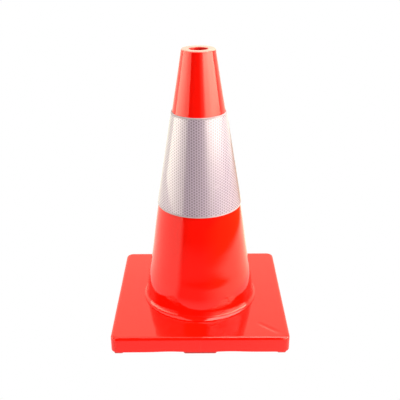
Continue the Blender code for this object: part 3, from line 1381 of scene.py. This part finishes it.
@dataclass(frozen=True)
class Panel:
    """A curved light panel standing round the object, unseen by the camera.

    Attributes:
        name: The panel's name.
        start: Its first edge, in degrees round from the front towards +X.
        stop: Its last edge.
        low: The height of its lower edge.
        high: The height of its upper edge.
        tone: The colour of its light.
        base: The strength at its first edge.
        steps: Where the strength rises, where the rise ends, and by how much.
        foot: The share of the strength that is left at its lower edge.
        rise: The height over which the rest comes in.
        climb: How much of the strength is added by each further metre.
        climb_end: The height over which it is added.
        distance: How far it stands from the upright axis.
        facet: The width of one flat of the curve, in degrees.
    """

    name: str
    start: float
    stop: float
    low: float
    high: float
    tone: Colour
    base: float
    steps: tuple[Triple, ...]
    foot: float = 1.0
    rise: float = 0.30
    climb: float = 0.0
    climb_end: float = 0.4
    distance: float = 2.6
    facet: float = 3.0

    def build(self) -> None:
        """Spins the panel from one upright edge."""
        mesh = bmesh.new()
        angle = math.radians(self.start)
        spot = Vector((math.sin(angle), -math.cos(angle), 0)) * self.distance
        ends = [mesh.verts.new(spot + Vector((0, 0, height))) for height in (self.low, self.high)]
        edge = mesh.edges.new(ends)
        turn = self.stop - self.start
        count = math.ceil(abs(turn) / self.facet)
        bmesh.ops.spin(
            mesh, geom=[*ends, edge], cent=(0, 0, 0), axis=(0, 0, 1), angle=math.radians(turn), steps=count
        )
        bmesh.ops.recalc_face_normals(mesh, faces=mesh.faces)
        panel = staged(self.name, mesh, self.glow())
        panel.visible_camera = False
        panel.visible_shadow = False

    def glow(self) -> bpy.types.Material:
        """Makes the panel's light, which grows along it and up it.

        Returns:
            The material.
        """
        material, graph = new_graph(self.name)
        x, y, z = graph.parts(graph.place())
        round_front = x.turning_from(y * -1)
        full = self.low + self.rise
        up = z.ramp(self.low, full, self.foot, 1.0) + (z - full).most(0.0).least(self.climb_end) * self.climb
        along: Value | float = self.base
        for start, stop, gain in self.steps:
            along = round_front.swing(start, stop, 0.0, gain) + along
        colour = graph.mixed(1.0, self.tone, (up * along).socket, Blend.DARKEN)
        graph.end(graph.light("ShaderNodeEmission", colour))
        return material


@dataclass
class Studio:
    """A white sweep with a softbox at the left and a brighter one at the right.

    Attributes:
        lens: The camera's focal length, in millimetres.
        place: The camera's place.
        tilt: The camera's turn about X, Y and Z, in degrees.
        shift: The camera's sideways shift.
        floor_radius: The radius of the floor.
        dim: The backdrop low at the front.
        overhead_left: The backdrop above the left side.
        overhead_right: The backdrop above the right side.
        behind: The backdrop at the back.
        floor_front: The floor in front of the cone, in reflections.
        floor_far: The floor in front, further out.
        floor_left: The floor at the left.
        floor_right: The floor at the right, close in.
        floor_right_far: The floor at the right, further out.
        floor_near: The floor close round the base.
        panels: The panels.
    """

    lens: float = 58.97
    place: Triple = (0.0020, -0.9804, 0.6286)
    tilt: Triple = (66.52, 0.37, 0.0)
    shift: float = 0.00275
    floor_radius: float = 1.25
    dim: Colour = (0.04, 0.04, 0.04)
    overhead_left: Colour = (1.7, 1.65, 1.45)
    overhead_right: Colour = (6.2, 5.9, 5.2)
    behind: Colour = (1.27, 1.27, 1.00)
    floor_front: Colour = (0.26, 0.23, 0.20)
    floor_far: Colour = (0.04, 0.035, 0.03)
    floor_left: Colour = (1.25, 1.18, 0.98)
    floor_right: Colour = (1.70, 1.55, 1.15)
    floor_right_far: Colour = (0.50, 0.26, 0.05)
    floor_near: Colour = (1.05, 0.95, 0.88)
    panels: tuple[Panel, ...] = (
        Panel(
            "softbox_left",
            start=-44,
            stop=-115,
            low=-0.55,
            high=1.00,
            tone=(1.0, 0.99, 0.75),
            base=2.1,
            steps=((-46, -90, 2.9),),
            foot=0.72,
            rise=1.30,
        ),
        Panel(
            "softbox_right",
            start=3,
            stop=105,
            low=-0.10,
            high=1.05,
            tone=(1.0, 0.97, 0.73),
            base=0.1,
            steps=((4, 18, 0.5), (18, 37, 4.8), (40, 65, 2.2)),
            foot=0.06,
            rise=0.60,
            climb=1.5,
        ),
    )

    def add_camera(self) -> None:
        """Places the camera."""
        lens = bpy.data.cameras.new("camera")
        lens.lens = self.lens
        lens.shift_x = self.shift
        camera = linked("camera", lens)
        camera.location = self.place
        camera.rotation_euler = [math.radians(angle) for angle in self.tilt]
        bpy.context.scene.camera = camera

    def add_backdrop(self) -> None:
        """Lights the studio from behind and from overhead at both sides; white to the eye."""
        world = bpy.data.worlds.new("studio")
        world.use_nodes = True
        bpy.context.scene.world = world
        graph = Graph(world.node_tree)
        x, y, z = graph.parts(graph.node("ShaderNodeTexCoord").outputs["Generated"])
        round_front, height = x.turning_from(y * -1), z.maths("ARCSINE", z)
        behind = abs(round_front).swing(98, 120) * height.swing(50, 75, 1.0, 0.0)
        aloft = height.swing(31, 41)
        glow = graph.mixed(aloft * round_front.swing(-35, -45), self.dim, self.overhead_left)
        glow = graph.mixed(aloft * round_front.swing(12, 30), glow, self.overhead_right)
        glow = graph.mixed(behind, glow, self.behind)
        graph.end(graph.clean_to_eye("ShaderNodeBackground", glow), "ShaderNodeOutputWorld")

    def add_floor(self) -> None:
        """Lays the pale floor: white to the eye, darker in reflections towards the front."""
        mesh = bmesh.new()
        bmesh.ops.create_circle(mesh, cap_ends=True, segments=96, radius=self.floor_radius)
        material, graph = new_graph("floor_white")
        x, y, _ = graph.parts(graph.place())
        round_front = x.turning_from(y * -1)
        reach = (x * x + y * y) ** 0.5
        front = graph.mixed(reach.ramp(0.55, 0.85), self.floor_front, self.floor_far)
        tone = graph.mixed(round_front.swing(-36, -50), front, self.floor_left)
        inner = reach.ramp(0.48, 0.62, 1.0, 0.0)
        tone = graph.mixed(
            round_front.swing(-5, 60), tone, graph.mixed(inner, self.floor_right_far, self.floor_right)
        )
        tone = graph.mixed(reach.ramp(0.22, 0.30, 1.0, 0.0) * 0.8, tone, self.floor_near)
        lit = graph.clean_to_eye("ShaderNodeEmission", tone)
        under = graph.node("ShaderNodeNewGeometry").outputs["Backfacing"]
        graph.end(graph.either(under, lit, graph.node("ShaderNodeBsdfTransparent").outputs[0]))
        staged("floor", mesh, material)

    def build(self) -> None:
        """Sets up the camera, the lights and the floor."""
        bpy.context.scene.view_settings.view_transform = "Standard"
        self.add_camera()
        self.add_backdrop()
        for panel in self.panels:
            panel.build()
        self.add_floor()


def main() -> None:
    """Builds the cone, sub-assembly by sub-assembly."""
    logging.basicConfig(level=logging.INFO, format="%(name)s: %(message)s")
    Studio().build()
    shell = ConeShell(GlossyPvc("cone_pvc"))
    shell.dress(shell.build())
    cover = BaseCover(GlossyPvc("base_pvc", gloss=0.035, ripple=0.00012, flow=1.0))
    cover.dress(cover.build())
    # The plate and its feet get a darker red: painted shade for the shadow under the skirt.
    floor = BaseFloor(
        GlossyPvc("shaded_floor_pvc", (0.58, 0.006, 0.004), (0.50, 0.004, 0.003), gloss=0.28, flow=1.0)
    )
    floor.dress(floor.build())
    Ballast(BallastCompound()).dress()
    collar = Collar(CollarSheet(), PrismaticFilm())
    collar.dress(collar.build())


if __name__ == "__main__":
    main()
